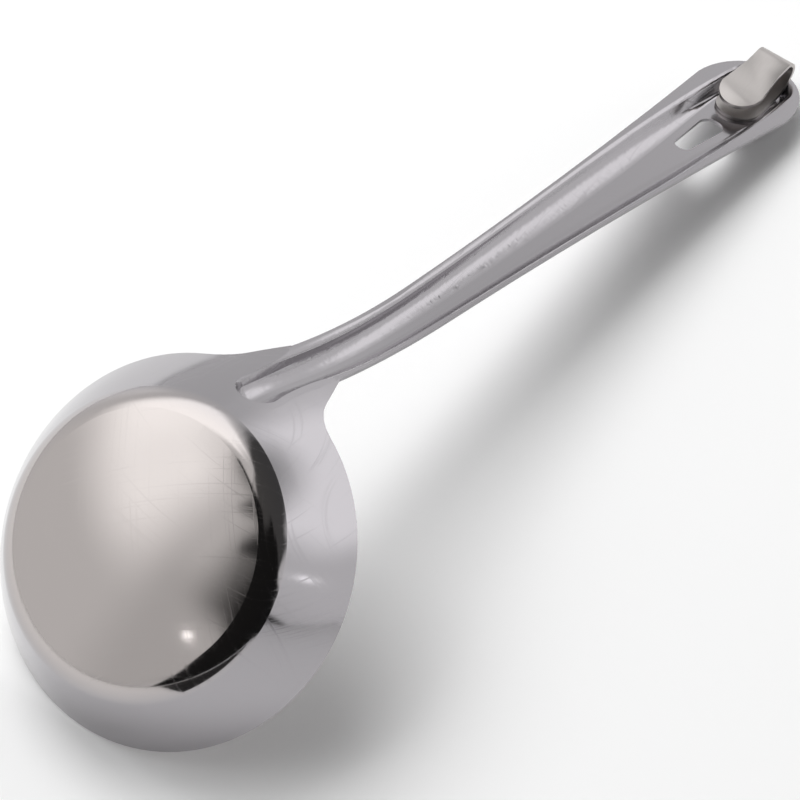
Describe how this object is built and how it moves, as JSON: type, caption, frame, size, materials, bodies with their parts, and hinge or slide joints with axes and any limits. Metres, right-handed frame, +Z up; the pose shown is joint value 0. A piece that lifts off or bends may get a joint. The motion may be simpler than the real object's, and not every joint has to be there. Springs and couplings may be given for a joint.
{
  "type": "soup ladle",
  "caption": "Soup ladle of pressed steel sheet: a round shallow bowl, a channelled handle leaning up from its rim, a hanging hole and a bent hook at the handle's end.",
  "frame": {"origin": "middle of the ladle's box on the floor, with the ladle face down on its far rim and its handle's end", "axes": "+X towards the handle's end, +Z up, +Y across the ladle, whose halves mirror each other about y = 0"},
  "size_m": [0.2762, 0.09, 0.0624],
  "materials": {
    "polished_steel": "polished stainless steel with fine random scratches",
    "satin_steel": "satin stainless steel with polished edges",
    "weld_steel": "plain fused steel, hidden between the sheets"
  },
  "bodies": {
    "root": {"bowl": "polished_steel", "handle": "polished_steel", "hanging_hook": "satin_steel", "neck_spot_welds": "weld_steel", "hook_spot_welds": "weld_steel"}
  },
  "joints": []
}
